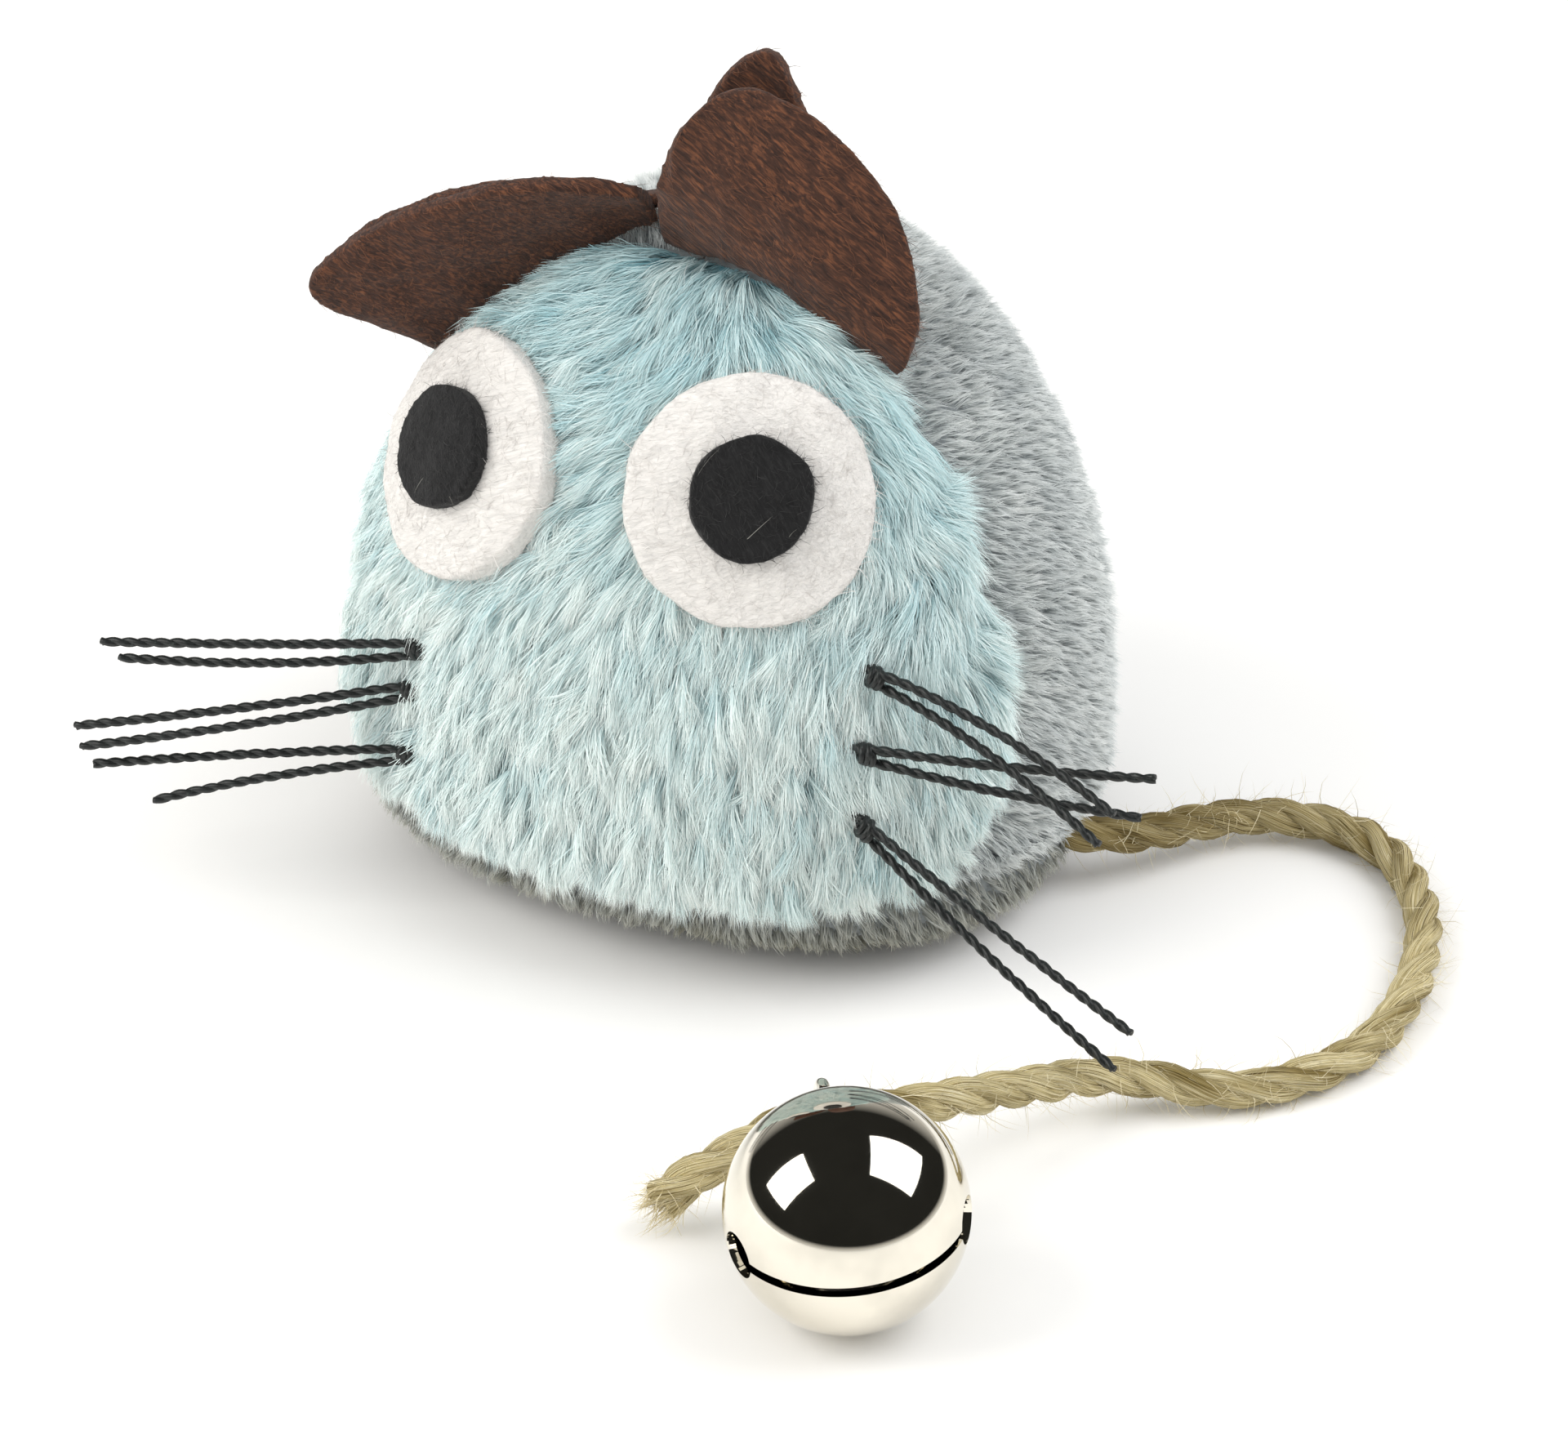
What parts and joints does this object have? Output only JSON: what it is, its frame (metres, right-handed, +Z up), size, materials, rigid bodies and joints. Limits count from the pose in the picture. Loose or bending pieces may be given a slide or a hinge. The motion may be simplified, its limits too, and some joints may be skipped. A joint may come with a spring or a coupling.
{
  "type": "plush mouse pet toy",
  "caption": "Stuffed plush mouse with felt ears and eyes, thread whiskers and a jute tail that ends in a jingle bell.",
  "frame": {"origin": "on the floor, on the flat belly, under the middle of the body's width and of the dome that shapes it", "axes": "+Z up, the face looks along -Y, the mouse's own left is +X, where the tail leaves the side seam"},
  "size_m": [0.1041, 0.0916, 0.0703],
  "materials": {
    "blue_plush": "long light-blue pile",
    "grey_plush": "short grey pile",
    "polyester_fibre": "loose fibre fill",
    "white_felt": "pressed felt",
    "black_felt": "pressed felt",
    "brown_felt": "pressed felt",
    "waxed_thread": "twisted waxed cotton",
    "jute": "three-strand natural fibre",
    "nickel": "bright nickel plate",
    "steel": "plain steel"
  },
  "bodies": {
    "body": {"face_panel": "blue_plush", "back_panel_left": "grey_plush", "back_panel_right": "grey_plush", "belly_panel": "grey_plush", "stuffing": "polyester_fibre", "eye_white_left": "white_felt", "pupil_left": "black_felt", "eye_white_right": "white_felt", "pupil_right": "black_felt", "whisker_left_1": "waxed_thread", "whisker_left_2": "waxed_thread", "whisker_left_3": "waxed_thread", "whisker_right_1": "waxed_thread", "whisker_right_2": "waxed_thread", "whisker_right_3": "waxed_thread", "tail_knot": "jute"},
    "ear_left": {"ear_left_front": "brown_felt", "ear_left_back": "brown_felt"},
    "ear_right": {"ear_right_front": "brown_felt", "ear_right_back": "brown_felt"},
    "tail": {"tail_rope": "jute"},
    "bell": {"bell_shell": "nickel", "bell_loop": "nickel"},
    "pellet": {"bell_pellet": "steel"}
  },
  "joints": [
    {"name": "ear_left_fold", "type": "hinge", "parent": "body", "child": "ear_left", "pos_m": [0.0072, -0.0053, 0.05275], "axis": [0.9253, -0.083, -0.3701], "range_deg": [-18, 18], "stiffness_Nm_per_rad": 0.0006},
    {"name": "ear_right_fold", "type": "hinge", "parent": "body", "child": "ear_right", "pos_m": [-0.0128, -0.0065, 0.0494], "axis": [-0.751, -0.201, -0.629], "range_deg": [-18, 18], "stiffness_Nm_per_rad": 0.0006},
    {"name": "tail_swing", "type": "hinge", "parent": "body", "child": "tail", "pos_m": [0.03128, 0.0018, 0.004], "axis": [0, 0, 1], "range_deg": [-10, 30]},
    {"name": "bell_swing", "type": "hinge", "parent": "tail", "child": "bell", "pos_m": [0.02838, -0.0483, 0.0097], "axis": [-0.8508, -0.5255, 0], "range_deg": [0, 75]},
    {"name": "pellet_bounce", "type": "slide", "parent": "bell", "child": "pellet", "axis": [0, 0, 1], "range_m": [0, 0.0118]}
  ]
}
